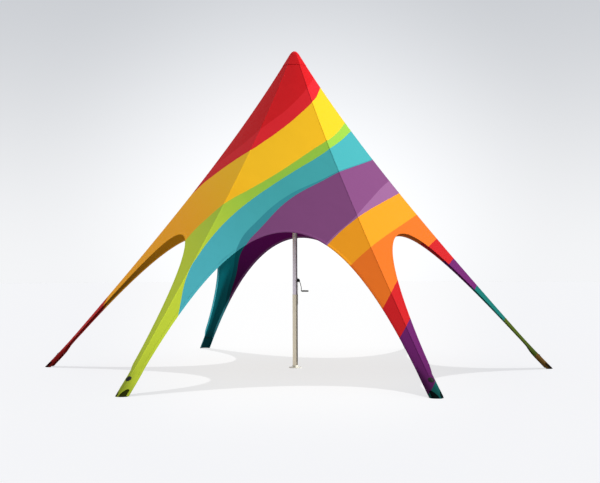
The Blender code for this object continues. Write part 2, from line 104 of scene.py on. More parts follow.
def add_node(tree, kind, inputs, **settings):
    """Add a node. An input is a value, an output, or a node that gives its first output."""
    made = tree.nodes.new("ShaderNode" + kind)
    for key, value in settings.items():
        setattr(made, key, value)
    for key, value in inputs.items():
        if isinstance(value, bpy.types.Node):
            value = value.outputs[0]
        if isinstance(value, bpy.types.NodeSocket):
            tree.links.new(value, made.inputs[key])
        else:
            made.inputs[key].default_value = value
    return made


def new_finish(name, roughness, metallic=0.0, specular=0.5):
    """A material, its node tree and its shader, with the values that are the same all over."""
    material = bpy.data.materials.new(name)
    material.use_nodes = True
    shader = material.node_tree.nodes["Principled BSDF"]
    shader.inputs["Roughness"].default_value = roughness
    shader.inputs["Metallic"].default_value = metallic
    shader.inputs["Specular IOR Level"].default_value = specular
    return material, material.node_tree, shader


def mesh_of(bm, name):
    """Turn a finished bmesh into a mesh."""
    mesh = bpy.data.meshes.new(name)
    bm.to_mesh(mesh)
    bm.free()
    return mesh


def show(name, mesh, *finishes):
    """Put a mesh with its finishes into the scene."""
    for finish in finishes:
        mesh.materials.append(finish)
    piece = bpy.data.objects.new(name, mesh)
    bpy.context.scene.collection.objects.link(piece)
    return piece


# The floor glows of itself: painted light, brightest in a wedge that widens to the back.
floor_paint, tree, shader = new_finish("studio floor paint", 1.0, specular=0.0)
shader.inputs["Base Color"].default_value = linear(FLOOR_PAINT)
shader.inputs["Emission Strength"].default_value = 1.0
place = add_node(tree, "TexCoord", {}).outputs["Object"]
split = add_node(tree, "SeparateXYZ", {"Vector": place}).outputs
side = add_node(tree, "Math", {0: split["X"], 1: WEDGE_SIDE}, operation="SUBTRACT")
depth = add_node(tree, "Math", {0: split["Y"], 1: WEDGE_FRONT}, operation="ADD")
slant = add_node(tree, "Math", {0: side, 1: depth}, operation="DIVIDE")
middle = add_node(tree, "Math", {0: slant, 1: WEDGE_LEAN}, operation="ADD")
off = add_node(tree, "Math", {0: middle}, operation="ABSOLUTE")
full, gone = WEDGE_HALF
inputs = {"Value": off, "From Min": full, "From Max": gone, "To Min": 1.0, "To Max": 0.0}
wedge = add_node(tree, "MapRange", inputs, interpolation_type="SMOOTHSTEP")
gone, full = WEDGE_DEPTH
inputs = {"Value": split["Y"], "From Min": gone, "From Max": full}
reach = add_node(tree, "MapRange", inputs, interpolation_type="SMOOTHSTEP")
near = add_node(tree, "Math", {0: wedge, 1: reach}, operation="MULTIPLY")
inputs = {0: near, 6: linear(FLOOR_FAR), 7: linear(FLOOR_NEAR)}
glow = add_node(tree, "Mix", inputs, data_type="RGBA")
tree.links.new(glow.outputs[2], shader.inputs["Emission Color"])

bm = bmesh.new()
bmesh.ops.create_circle(bm, cap_ends=True, segments=128, radius=STUDIO_RADIUS)
bmesh.ops.translate(bm, vec=(0.0, 0.0, -FLOOR_DROP), verts=bm.verts[:])
floor = show("studio_floor", mesh_of(bm, "studio_floor"), floor_paint)

# The backdrop glows of itself, darker upwards, with a painted halo of light behind the tent.
backdrop_paint = bpy.data.materials.new("studio backdrop")
backdrop_paint.use_nodes = True
tree = backdrop_paint.node_tree
tree.nodes.clear()
place = add_node(tree, "TexCoord", {}).outputs["Object"]
height = add_node(tree, "SeparateXYZ", {"Vector": place}).outputs["Z"]
inputs = {"Value": height, "From Min": 0.0, "From Max": BACKDROP_RISE}
rise = add_node(tree, "MapRange", inputs, interpolation_type="SMOOTHSTEP")
inputs = {0: rise, 6: linear(BACKDROP_LOW), 7: linear(BACKDROP_HIGH)}
sky = add_node(tree, "Mix", inputs, data_type="RGBA")
away = add_node(tree, "VectorMath", {0: place, 1: GLOW_PLACE}, operation="DISTANCE")
away = away.outputs["Value"]
full, gone = GLOW_REACH
inputs = {"Value": away, "From Min": full, "From Max": gone, "To Min": 1.0, "To Max": 0.0}
halo = add_node(tree, "MapRange", inputs, interpolation_type="SMOOTHSTEP")
inputs = {0: halo, 6: sky.outputs[2], 7: BACKDROP_GLOW}
lit = add_node(tree, "Mix", inputs, data_type="RGBA", blend_type="ADD")
shine = add_node(tree, "Emission", {"Color": lit.outputs[2], "Strength": 1.0})
add_node(tree, "OutputMaterial", {"Surface": shine})

bm = bmesh.new()
bmesh.ops.create_uvsphere(bm, u_segments=96, v_segments=48, radius=STUDIO_RADIUS)
below = [v for v in bm.verts if v.co.z < -1.0]
bmesh.ops.delete(bm, geom=below, context="VERTS")
backdrop_mesh = mesh_of(bm, "studio_backdrop")
backdrop_mesh.shade_smooth()
backdrop = show("studio_backdrop", backdrop_mesh, backdrop_paint)

for surface in (floor, backdrop):
    surface.visible_diffuse = False
    surface.visible_shadow = False

world = bpy.data.worlds.new("studio glow")
world.use_nodes = True
world.node_tree.nodes["Background"].inputs["Color"].default_value = ROOM_GLOW
bpy.context.scene.world = world


def sun(name, towards, softness):
    """A studio light far off, as bright on a surface that faces it as towards is long."""
    data = bpy.data.lights.new(name, "SUN")
    source = Vector(towards)
    data.energy = source.length * pi
    data.angle = radians(softness)
    light = bpy.data.objects.new(name, data)
    light.rotation_euler = source.to_track_quat("Z", "Y").to_euler()
    bpy.context.scene.collection.objects.link(light)
    return light


sun("overhead_light", *OVERHEAD)
side_light = sun("side_light", *SIDEWAYS)
# The side light is kept off the floor, so that only the overhead one draws a shadow there.
flagged = bpy.data.collections.new("flagged off from the side light")
flagged.objects.link(floor)
flagged.collection_objects[0].light_linking.link_state = "EXCLUDE"
side_light.light_linking.receiver_collection = flagged


# Canopy shape. Six equal gores hang between six ridges, each ridge a shallow hanging line
# from the peak to a peg, and each gore is cut out to an archway as high as a door.
LEG_COUNT = 6
REACH = 4.00
TOE_KICK = 0.04          # how much further out a leg's end is, as it flattens to its peg
TOE_HEIGHT = 0.60
PEAK = 5.11              # where the six ridges would meet
RIDGE_SAG = 0.177        # how far a ridge hangs in from a straight line, at half height
RIDGE_SKEW = 0.365       # moves that sag up towards the peak
BULGE = 0.12             # 0 is a flat gore across its ridges, 1 is a round cone
ARCH_CROWN = 2.10
ARCH_HALF = 1.88
ROOF_TOP = 4.86
JOIN = 1.60              # the gore's mesh is parted here into its roof and two leg strips
BOW_HEIGHT = 0.20        # the stiff round bow inside a leg's end
FOOT_RADIUS = 0.095
FOOT_WRAP = 1.18         # how much further round its bow the cloth reaches there
ROUNDING_TOP = 0.38      # a leg's ridge turns from sharp to round below this height
FOOT_CUT = 0.09          # height of the arch cut out of each strip's lower end
CLOTH = 0.0018
HALF_GORE = pi / LEG_COUNT
SLOPE_STEP = 0.01        # half the height over which a ridge's slope is measured

# Where each leg, and the middle of each gore, stands: degrees from the front.
LEGS = {
    "front_left": -30, "front_right": 30, "right": 90,
    "back_right": 150, "back_left": -150, "left": -90,
}
GORES = {
    "front": 0, "front_right": 60, "back_right": 120,
    "back": 180, "back_left": -120, "front_left": -60,
}


def heading(angle):
    """Unit vector on the ground at an angle from the front, turning towards +X."""
    return Vector((sin(angle), -cos(angle), 0.0))


def ridge_radius(height):
    """Distance from the mast's axis to a ridge at a height."""
    rise = height / PEAK
    sag = 4 * RIDGE_SAG * rise * (1 - rise) * (1 + RIDGE_SKEW * (2 * rise - 1))
    kick = TOE_KICK * max(0.0, 1 - height / TOE_HEIGHT) ** 2
    return REACH * (1 - rise) - sag + kick


def half_chord(height):
    """Half the width of a gore, straight from ridge to ridge, at a height."""
    return ridge_radius(height) * sin(HALF_GORE)


def arch_edge(height):
    """Where the archway's edge cuts the gore, as a share of the half chord."""
    if height >= ARCH_CROWN:
        return 0.0
    return ARCH_HALF * sqrt(1 - height / ARCH_CROWN) / half_chord(height)


def ridge_slope(height):
    """How far a ridge comes in for each metre up."""
    come_in = ridge_radius(height - SLOPE_STEP) - ridge_radius(height + SLOPE_STEP)
    return come_in / (2 * SLOPE_STEP)


def steepness(height):
    """How much longer a level cut through the sloping cloth is than its thickness."""
    slope = ridge_slope(height)
    return sqrt(1 + slope * slope)


def roof_point(middle, share, height, inset):
    """A point of a gore, share being -1 and 1 on its two ridges and inset its depth."""
    turn = atan(share * tan(HALF_GORE))
    flat = cos(HALF_GORE) / cos(turn)
    radius = ridge_radius(height) * ((1 - BULGE) * flat + BULGE)
    point = (radius - inset * steepness(height)) * heading(middle + turn)
    point.z = height
    return point


def rounding(height):
    """How far a leg's ridge has turned from a sharp fold into a round."""
    share = max(0.0, min(1.0, (ROUNDING_TOP - height) / (ROUNDING_TOP - BOW_HEIGHT)))
    return share * share * (3 - 2 * share)


def leg_point(angle, side, part, height, inset):
    """A point on one side of a leg: part is 0 on its ridge and 1 on the archway's edge."""
    share = 1 - (1 - arch_edge(height)) * part
    width = (1 - share) * half_chord(height)
    ridge = heading(angle)
    along = side * Vector((-ridge.y, ridge.x, 0.0))
    depth = inset * steepness(height)
    folded = roof_point(angle + side * HALF_GORE, -side * share, height, 0.0)
    folded -= ridge * depth
    turn = width * FOOT_WRAP / FOOT_RADIUS
    radius = FOOT_RADIUS - depth
    curved = ridge * (ridge_radius(height) - FOOT_RADIUS + radius * cos(turn))
    curved += along * (radius * sin(turn))
    curved.z = height
    return folded.lerp(curved, rounding(height))


def over_cut(part, height):
    """The height that a point of a strip is moved up to by the arch cut at its foot."""
    return height + FOOT_CUT * 4 * part * (1 - part) * max(0.0, 1 - height / BOW_HEIGHT)


def cloth_point(middle, share, height, inset):
    """A point anywhere on a gore, on its roof or on one of its two leg strips."""
    if height >= JOIN:
        return roof_point(middle, share, height, inset)
    side = -1 if share > 0 else 1
    part = (1 - abs(share)) / (1 - arch_edge(height))
    return leg_point(middle - side * HALF_GORE, side, part, height, inset)


# Printed cloth. Polyester tent cloth, dyed through in broad bands of colour that sweep up
# from the left. It is satin outside, and inside the same print shows through matt and darker,
# its darkness partly painted shade.
# The print is laid on level from the front, so it is held in metres in its own UV map.
PRINT_REACH = 4.0        # the print map runs from -4 m to 4 m along and across its bands
PRINT_TURN = -pi / 4     # the bands run up at 45 degrees
PRINT_FADE = 2.0         # a band goes from its first colour to its second over this length
BACK_SHIFT = 0.25        # behind the mast the print slides this much for each metre back
THREAD_WIDTH = 0.003     # the real 0.4 mm threads are drawn this wide, or none would show
THREAD_DEPTH = 0.0003
WAVE_PACE = 20           # radians that a wave texture of scale 1 runs through in a metre
RIPPLE_WIDTH = 0.35
RIPPLE_DEPTH = 0.012
# Painted shade towards the ground, in soft clouds, in two layers.
GROUND_SHADE_WIDTH = 0.25        # of its clouds
GROUND_SHADE_RISE = 0.35         # its upper edge goes up and down by this much
GROUND_SHADE = (0.0, 1.3, 0.80)  # from and up to which height, and the brightness left at the ground
DEEP_GROUND_SHADE = (0.12, 0.75, 0.60)
INSIDE_SHADE_HEIGHTS = (1.0, 2.2)     # between these heights the painted shade on the cloth's back lifts
CLOTH_GLOSS = 0.04
# Each band lies above its edge: its colours at its lower left and its upper right, and the
# edge as a row of points along and across the bands, in metres.
BANDS = (
    ("brown", "6E4E14", "6E4E14", ()),
    ("olive", "405006", "405006", ((-4, -3.6), (0, -2.8), (2.86, -2.51), (4, -2.42))),
    ("pine", "02262B", "04665F", ((-4, -3.4), (0, -2.1), (2.88, -1.777), (4, -1.7))),
    ("plum", "3A0644", "641C60", (
        (-4, -3.3), (0.4, -1.5), (1.42, -1.281), (2.2, -1.16), (2.89, -1.11), (4, -1.1),
    )),
    ("scarlet", "CE2120", "BB181C", (
        (-4, -3.1), (0.4, -0.95), (1.63, -0.582), (2.2, -0.5), (2.94, -0.55), (4, -0.6),
    )),
    ("orange", "D8681E", "DA6A1C", (
        (-4, -2.9), (0.4, -0.6), (1.76, -0.168), (2.2, -0.075), (2.9, -0.13), (4, -0.3),
    )),
    ("gold", "E3931C", "E39318", (
        (-4, -2.7), (0.4, 0.2), (1.2, 0.45), (1.86, 0.516), (2.96, 0.366), (4, 0.15),
    )),
    ("lilac", "7A4E77", "8E5B88", (
        (-4, -2.5), (0.4, 0.55), (1.2, 0.85), (1.88, 0.95), (2.36, 0.923), (2.89, 0.828),
        (4, 0.6),
    )),
    ("purple", "72406F", "7A4474", (
        (-4, -2.45), (0.5, 0.64), (1.3, 0.9), (1.9, 0.975), (2.3, 0.955), (2.64, 0.99),
        (3.1, 1.03), (4, 0.9),
    )),
    ("deep teal", "328793", "328C97", (
        (-4, -2.1), (-1, 0.1), (0.24, 1.249), (0.55, 1.455), (0.92, 1.73), (1.32, 1.79),
        (1.83, 1.808), (2.44, 1.656), (3.16, 1.462), (4, 1.3),
    )),
    ("teal", "4CB0BB", "40A2A6", (
        (-4, -2.05), (-1, 0.18), (0.24, 1.33), (0.55, 1.55), (0.92, 1.84), (1.32, 1.9),
        (1.83, 1.875), (2.44, 1.68), (3.16, 1.475), (4, 1.31),
    )),
    ("lime", "C4D63A", "90C040", (
        (-4, -1.6), (-1.4, 0.6), (-0.24, 1.708), (0.17, 2.03), (0.45, 2.126), (0.78, 2.192),
        (1.13, 2.215), (1.47, 2.194), (1.84, 2.14), (2.2, 2.074), (2.59, 1.992), (2.82, 1.965),
        (3.22, 2.005), (4, 2.25),
    )),
    ("yellow", "F8A810", "F7C01E", (
        (-4, 1.4), (-1, 2.25), (0.48, 2.5), (0.8, 2.481), (1.22, 2.419), (1.55, 2.333),
        (1.95, 2.24), (2.6, 2.135), (2.95, 2.09), (3.28, 2.17), (4, 2.45),
    )),
    ("bright red", "BE1F1C", "DA2029", (
        (-4, 2.3), (-2.8, 2.55), (-1.75, 2.78), (-1.45, 2.86), (-1.25, 2.98), (0.0, 3.12),
        (1.0, 3.1), (1.3, 3.02), (1.56, 2.938), (1.78, 2.859), (1.98, 2.785), (2.16, 2.757),
        (2.43, 2.72), (2.89, 2.7), (3.2, 2.727), (3.4, 2.831), (4, 3.3),
    )),
    ("deep red", "CE1015", "CC131A", (
        (-4, 2.9), (-1.34, 3.2), (0.0, 3.36), (1.0, 3.3), (1.49, 3.14), (1.97, 3.0),
        (2.43, 2.93), (2.89, 2.9), (3.4, 3.0), (4, 3.5),
    )),
)


def printed_bands(tree):
    """The print as a chain of mixes, from the lowest band to the highest."""
    share = 1 / (2 * PRINT_REACH)
    inputs = {"Vector": add_node(tree, "UVMap", {}, uv_map="print")}
    inputs["Rotation"] = (0.0, 0.0, PRINT_TURN)
    inputs["Scale"] = (share, share, 1.0)
    inputs["Location"] = (0.5, 0.5, 0.0)
    turned = add_node(tree, "Mapping", inputs)
    along, across = add_node(tree, "SeparateXYZ", {"Vector": turned}).outputs[:2]
    inputs = {"Value": along, "From Min": 0.5, "From Max": 0.5 + PRINT_FADE * share}
    fade = add_node(tree, "MapRange", inputs, interpolation_type="SMOOTHSTEP")
    colour = linear(BANDS[0][1])
    for name, start, end, edge in BANDS[1:]:
        line = add_node(tree, "FloatCurve", {"Value": along}, label=name)
        curve = line.mapping.curves[0]
        places = [((s + PRINT_REACH) * share, (t + PRINT_REACH) * share) for s, t in edge]
        for spot in places[1:-1]:
            curve.points.new(*spot)
        curve.points[0].location = places[0]
        curve.points[-1].location = places[-1]
        line.mapping.update()
        above = add_node(tree, "Math", {0: across, 1: line}, operation="GREATER_THAN")
        ink = add_node(tree, "Mix", {0: fade, 6: linear(start), 7: linear(end)}, data_type="RGBA")
        inputs = {0: above, 6: colour, 7: ink.outputs[2]}
        colour = add_node(tree, "Mix", inputs, data_type="RGBA").outputs[2]
    return colour


def weave_bump(tree, shader):
    """Plain weave over the soft ripples that a stretched cloth keeps."""
    place = add_node(tree, "UVMap", {}, uv_map="cloth")
    inputs = {"Vector": place, "Scale": 1 / (THREAD_WIDTH * WAVE_PACE / pi / 2), "Distortion": 0.4}
    weft = add_node(tree, "TexWave", inputs, bands_direction="X").outputs["Fac"]
    warp = add_node(tree, "TexWave", inputs, bands_direction="Y").outputs["Fac"]
    crossed = add_node(tree, "Math", {0: weft, 1: warp}, operation="MULTIPLY")
    inputs = {"Vector": place, "Scale": 1 / RIPPLE_WIDTH, "Detail": 2.0}
    ripple = add_node(tree, "TexNoise", inputs).outputs["Fac"]
    soft = add_node(tree, "Bump", {"Height": ripple, "Distance": RIPPLE_DEPTH, "Strength": 0.5})
    inputs = {"Height": crossed, "Distance": THREAD_DEPTH, "Strength": 0.4, "Normal": soft}
    tree.links.new(add_node(tree, "Bump", inputs).outputs["Normal"], shader.inputs["Normal"])


def print_height(tree):
    """The height above the ground, which the print map holds."""
    place = add_node(tree, "UVMap", {}, uv_map="print")
    return add_node(tree, "SeparateXYZ", {"Vector": place}).outputs["Y"]


def painted_ground_shade(tree, colour):
    """Painted shade: the cloth darkens towards the ground, and more so lower down, in soft clouds.
    """
    place = add_node(tree, "UVMap", {}, uv_map="cloth")
    inputs = {"Vector": place, "Scale": 1 / GROUND_SHADE_WIDTH, "Detail": 4.0}
    cloud = add_node(tree, "TexNoise", inputs).outputs["Fac"]
    inputs = {0: cloud, 1: GROUND_SHADE_RISE, 2: print_height(tree)}
    uneven = add_node(tree, "Math", inputs, operation="MULTIPLY_ADD")
    unshaded_shares = []
    for low, high, least in (GROUND_SHADE, DEEP_GROUND_SHADE):
        inputs = {"Value": uneven, "From Min": low, "From Max": high, "To Min": least}
        unshaded_shares.append(add_node(tree, "MapRange", inputs, interpolation_type="SMOOTHSTEP"))
    both = add_node(tree, "Math", {0: unshaded_shares[0], 1: unshaded_shares[1]}, operation="MULTIPLY")
    ground_shaded = add_node(tree, "VectorMath", {0: colour, "Scale": both}, operation="SCALE")
    return ground_shaded.outputs["Vector"]


printed_polyester, tree, shader = new_finish(
    "dye printed polyester, outside", 0.62, specular=CLOTH_GLOSS
)
# The outside's colour carries painted shade towards the ground.
tree.links.new(painted_ground_shade(tree, printed_bands(tree)), shader.inputs["Base Color"])
weave_bump(tree, shader)


def reverse_side(name, low, high):
    """The cloth's matt back: the print comes through dimmer, with painted shade that darkens it
    more at the foot than above.
    """
    material, tree, shader = new_finish(name, 0.75, specular=0.03)
    ground_shaded = painted_ground_shade(tree, printed_bands(tree))
    rich = add_node(tree, "HueSaturation", {"Color": ground_shaded, "Saturation": 1.4})
    # Painted shade: darker at the foot, lifting between these heights.
    inputs = {"Value": print_height(tree), "From Min": INSIDE_SHADE_HEIGHTS[0], "From Max": INSIDE_SHADE_HEIGHTS[1]}
    inputs.update({"To Min": low, "To Max": high})
    through = add_node(tree, "MapRange", inputs, interpolation_type="SMOOTHSTEP")
    dim = add_node(tree, "VectorMath", {0: rich, "Scale": through}, operation="SCALE")
    tree.links.new(dim.outputs["Vector"], shader.inputs["Base Color"])
    weave_bump(tree, shader)
    return material


# The cloth's back: print that shows through, darkened by painted shade.
show_through_and_shade = reverse_side("dye printed polyester, inside", 0.26, 0.80)


def print_place(point):
    """Where a point of the tent lies in the print, in metres: across, and up from the ground."""
    return point.x + BACK_SHIFT * max(point.y, 0.0), point.z


def cloth_place(point, middle):
    """Where a point lies on its cut of cloth: across from the middle, and down from the peak."""
    out = heading(middle)
    side = Vector((-out.y, out.x, 0.0))
    return point.dot(side), hypot(PEAK - point.z, point.dot(out))


def lay_print(mesh, points, middle):
    """Map a mesh on the print and on its cut of cloth, from a point for each vertex."""
    print_map = mesh.uv_layers.new(name="print")
    cloth_map = mesh.uv_layers.new(name="cloth")
    for loop in mesh.loops:
        spot = points[loop.vertex_index]
        print_map.data[loop.index].uv = print_place(spot)
        cloth_map.data[loop.index].uv = cloth_place(spot, middle)


NUDGE = 0.001            # step over which the way that a sheet faces is measured


def cloth_shell(name, columns, rows, surface, depth, middle, *finishes):
    """One cut of cloth as a thin closed shell, printed side out.

    surface(column, row, inset) gives its points. Its normals come from the true surface, so
    that two cuts that meet on a line shade as one.
    """
    wide = len(columns)
    spots = [(column, row) for row in rows for column in columns]
    outside = [surface(*spot, 0.0) for spot in spots]
    inside = [surface(*spot, depth) for spot in spots]
    normals = []
    for column, row in spots:
        across = surface(column + NUDGE, row, 0.0) - surface(column - NUDGE, row, 0.0)
        up = surface(column, row + NUDGE, 0.0) - surface(column, row - NUDGE, 0.0)
        normals.append(across.cross(up).normalized())
    flipped = normals[0].dot(Vector((outside[0].x, outside[0].y, 0.0))) < 0
    if flipped:
        normals = [-normal for normal in normals]
    count = len(spots)
    faces = []
    for j in range(len(rows) - 1):
        for a in range(j * wide, j * wide + wide - 1):
            quad = (a, a + 1, a + 1 + wide, a + wide)
            faces.append(quad[::-1] if flipped else quad)
    sheet_faces = len(faces)
    faces += [tuple(k + count for k in face[::-1]) for face in faces]
    last = count - wide
    rim = list(range(wide)) + [wide * j + wide - 1 for j in range(1, len(rows))]
    rim += list(range(count - 2, last - 1, -1)) + [wide * j for j in range(len(rows) - 2, 0, -1)]
    for p, q in zip(rim, rim[1:] + rim[:1]):
        edge = (q, p, p + count, q + count)
        faces.append(edge[::-1] if flipped else edge)
    mesh = bpy.data.meshes.new(name)
    mesh.from_pydata(outside + inside, [], faces)
    lay_print(mesh, outside + outside, middle)
    split = [Vector((0.0, 0.0, 1.0))] * len(mesh.loops)
    for face in mesh.polygons:
        face.use_smooth = True
        face.material_index = 1 if sheet_faces <= face.index < 2 * sheet_faces else 0
        for loop in face.loop_indices:
            vert = mesh.loops[loop].vertex_index
            if face.index < sheet_faces:
                split[loop] = normals[vert]
            elif face.index < 2 * sheet_faces:
                split[loop] = -normals[vert - count]
            else:
                split[loop] = face.normal
    mesh.normals_split_custom_set(split)
    return show(name, mesh, *finishes)


def hang(piece):
    """Give a cloth piece or a fitting on it its body, and a mesh of its own."""
    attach(piece, "canopy_and_base")
    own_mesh(piece)


# Archway hems. The cut edge is folded round twice, 40 mm wide, and held by two rows of
# lockstitch, which keeps the archway taut from foot to foot.
HEM_WIDTH = 0.040
HEM_PROUD = 0.0012
HEM_STEPS = 96
STITCH_LENGTH = 0.008    # real stitches are 4 mm long; these are drawn twice as long
STITCH_WIDTH = 0.0016
STITCH_DEPTH = 0.0006
STITCH_DARK = 0.75       # thread of the cloth's own colour, in its own shade
HEM_MARGIN = 0.006       # between a row of stitches and the hem's edge


def stitched_cloth(name, rows):
    """Printed cloth with rows of lockstitch, at distances across the band in metres."""
    material, tree, shader = new_finish(name, 0.66, specular=CLOTH_GLOSS)
    colour = painted_ground_shade(tree, printed_bands(tree))
    place = add_node(tree, "UVMap", {}, uv_map="band")
    across, along = add_node(tree, "SeparateXYZ", {"Vector": place}).outputs[:2]
    # Each stitch is followed by a gap of half its length.
    beat = add_node(tree, "Math", {0: along, 1: STITCH_LENGTH * 0.75}, operation="PINGPONG")
    sewn = add_node(tree, "Math", {0: beat, 1: STITCH_LENGTH / 2}, operation="LESS_THAN")
    near = []
    for row in rows:
        inputs = {0: across, 1: row, 2: STITCH_WIDTH / 2}
        near.append(add_node(tree, "Math", inputs, operation="COMPARE"))
    thread = near[0]
    for other in near[1:]:
        thread = add_node(tree, "Math", {0: thread, 1: other}, operation="MAXIMUM")
    stitch = add_node(tree, "Math", {0: thread, 1: sewn}, operation="MULTIPLY")
    dark = add_node(tree, "VectorMath", {0: colour, "Scale": STITCH_DARK}, operation="SCALE")
    seen = add_node(tree, "Mix", {0: stitch, 6: colour, 7: dark}, data_type="RGBA")
    tree.links.new(seen.outputs[2], shader.inputs["Base Color"])
    raised = add_node(tree, "Bump", {"Height": stitch, "Distance": STITCH_DEPTH, "Strength": 0.8})
    tree.links.new(raised.outputs["Normal"], shader.inputs["Normal"])
    return material


def sewn_band(name, rings, across, lengths, middle, finish, closed=False):
    """A narrow band of cloth swept through rings of points, each a closed cut through it."""
    size, count = len(rings[0]), len(rings)
    faces = []
    for j in range(count if closed else count - 1):
        low, high = j * size, (j + 1) % count * size
        for i in range(size):
            k = (i + 1) % size
            faces.append((low + i, low + k, high + k, high + i))
    if not closed:
        faces.append(tuple(range(size))[::-1])
        faces.append(tuple(range((count - 1) * size, count * size)))
    points = [point for ring in rings for point in ring]
    mesh = bpy.data.meshes.new(name)
    mesh.from_pydata(points, [], faces)
    lay_print(mesh, points, middle)
    band_map = mesh.uv_layers.new(name="band")
    for loop in mesh.loops:
        j, i = divmod(loop.vertex_index, size)
        band_map.data[loop.index].uv = (across[i], lengths[j])
    bm = bmesh.new()
    bm.from_mesh(mesh)
    bmesh.ops.recalc_face_normals(bm, faces=bm.faces[:])
    bm.to_mesh(mesh)
    bm.free()
    mesh.shade_smooth()
    mesh.set_sharp_from_angle(angle=radians(50))
    return show(name, mesh, finish)


def run_of(rings, column):
    """Distances along a band, measured on one of its columns of points."""
    lengths = [0.0]
    for ring, after in zip(rings, rings[1:]):
        lengths.append(lengths[-1] + (after[column] - ring[column]).length)
    return lengths


stitch_rows = (HEM_MARGIN, HEM_WIDTH - HEM_MARGIN)
hem_cloth = stitched_cloth("folded and stitched polyester hem", stitch_rows)
HEM_CUT = (              # points of its section: in from the archway, and proud of the cloth
    (HEM_WIDTH, -0.0002), (HEM_WIDTH - 0.001, HEM_PROUD), (0.001, HEM_PROUD),
    (-0.0012, 0.0002), (-0.0012, -CLOTH - 0.0002), (0.001, -CLOTH - HEM_PROUD),
    (HEM_WIDTH - 0.001, -CLOTH - HEM_PROUD), (HEM_WIDTH, -CLOTH + 0.0002),
)
CLOTH_SLANT = 1.2        # metres of cloth for each metre of height, down a gore's middle

hems = {}
for name, degrees_round in GORES.items():
    middle = radians(degrees_round)
    rings = []
    for k in range(-HEM_STEPS // 2, HEM_STEPS // 2 + 1):
        place_on_arch = 2 * k / HEM_STEPS
        level = ARCH_HALF * place_on_arch
        height = ARCH_CROWN * (1 - place_on_arch ** 2)
        inward = Vector((2 * level / ARCH_HALF ** 2, 1 / (ARCH_CROWN * CLOTH_SLANT)))
        inward.normalize()
        ring = []
        for depth, proud in HEM_CUT:
            high = max(0.0, height + inward.y * depth / CLOTH_SLANT)
            beside = level + inward.x * depth
            ring.append(cloth_point(middle, beside / half_chord(high), high, -proud))
        rings.append(ring)
    across = [depth for depth, proud in HEM_CUT]
    hems[name] = sewn_band("hem_" + name, rings, across, run_of(rings, 2), middle, hem_cloth)
    hang(hems[name])


# Ridge seams. Neighbouring gores are joined by a flat-felled seam along each ridge, 24 mm
# wide with twin rows of stitches, from the foot up to the peak hood.
SEAM_HALF = 0.012
SEAM_PROUD = 0.0012
SEAM_ROWS = 84
SEAM_CROWD = 1.2         # crowds a seam's rows towards its foot, where the leg is round

seam_cloth = stitched_cloth("flat felled polyester seam", (-0.007, 0.007))
SEAM_CUT = (             # points of its section: beside the ridge, and proud of the cloth
    (-SEAM_HALF, -0.0002), (-SEAM_HALF + 0.001, SEAM_PROUD), (-0.003, SEAM_PROUD),
    (0.0, SEAM_PROUD), (0.003, SEAM_PROUD), (SEAM_HALF - 0.001, SEAM_PROUD),
    (SEAM_HALF, -0.0002), (0.0, -0.001),
)


def ridge_ring(angle, height, cut):
    """One cut through a band on a ridge, from places beside the ridge and proud of it."""
    ring = []
    for beside, proud in cut:
        side = 1 if beside > 0 else -1
        share = 1 - abs(beside) / half_chord(height)
        ring.append(cloth_point(angle + side * HALF_GORE, -side * share, height, -proud))
    return ring


seams = {}
for name, degrees_round in LEGS.items():
    angle = radians(degrees_round)
    heights = [ROOF_TOP * (k / SEAM_ROWS) ** SEAM_CROWD for k in range(SEAM_ROWS + 1)]
    rings = [ridge_ring(angle, height, SEAM_CUT) for height in heights]
    across = [beside for beside, proud in SEAM_CUT]
    seams[name] = sewn_band("seam_" + name, rings, across, run_of(rings, 3), angle, seam_cloth)
    hang(seams[name])


# Roof gores. Six cuts of printed polyester, stretched from the peak hood down over the
# archways. Each is one curved sheet, held up by the mast's head and drawn down by its legs.
ROOF_ROWS = 56
ARCH_COLUMNS = 14        # from the archway's middle to where the roof's lower edge is level
RIDGE_COLUMNS = 5
HALVINGS = 40            # steps in which the archway's height at a column is closed in on

corner = arch_edge(JOIN)
inner_columns = [corner * k / ARCH_COLUMNS for k in range(-ARCH_COLUMNS, ARCH_COLUMNS + 1)]
outer_columns = [corner + (1 - corner) * k / RIDGE_COLUMNS for k in range(1, RIDGE_COLUMNS + 1)]
roof_columns = [-share for share in outer_columns[::-1]] + inner_columns + outer_columns
roof_rows = [k / ROOF_ROWS for k in range(ROOF_ROWS + 1)]


def roof_foot(share):
    """Height of the roof's lower edge: level beside the archway, arched over it."""
    if abs(share) >= corner:
        return JOIN
    low, high = JOIN, ARCH_CROWN
    for _ in range(HALVINGS):
        height = (low + high) / 2
        if arch_edge(height) > abs(share):
            low = height
        else:
            high = height
    return low


for name, degrees_round in GORES.items():
    middle = radians(degrees_round)

    def roof_surface(share, row, inset):
        foot = roof_foot(share)
        return roof_point(middle, share, foot + (ROOF_TOP - foot) * row, inset)

    roof = cloth_shell(
        "roof_" + name, roof_columns, roof_rows, roof_surface, CLOTH, middle,
        printed_polyester, show_through_and_shade,
    )
    hang(roof)
    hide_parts("panel_" + name)


# Leg strips. Below the archways each gore runs down to the ground as two narrow strips,
# folded sharp along the ridge and spread round the stiff bow at the foot.
LEG_COLUMNS = 10
LEG_ROWS = 24            # below the toe's height, and as many above it
leg_columns = [k / LEG_COLUMNS for k in range(LEG_COLUMNS + 1)]
leg_rows = [0.025 * k for k in range(LEG_ROWS + 1)]
leg_rows += [TOE_HEIGHT + (JOIN - TOE_HEIGHT) * k / LEG_ROWS for k in range(1, LEG_ROWS + 1)]

for name, degrees_round in GORES.items():
    middle = radians(degrees_round)
    for side, word in ((1, "left"), (-1, "right")):
        angle = middle - side * HALF_GORE

        def leg_surface(part, height, inset):
            return leg_point(angle, side, part, over_cut(part, height), inset)

        leg = cloth_shell(
            "leg_" + name + "_" + word, leg_columns, leg_rows, leg_surface, CLOTH, middle,
            printed_polyester, show_through_and_shade,
        )
        hang(leg)
        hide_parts("panel_" + name + "_leg_" + word)


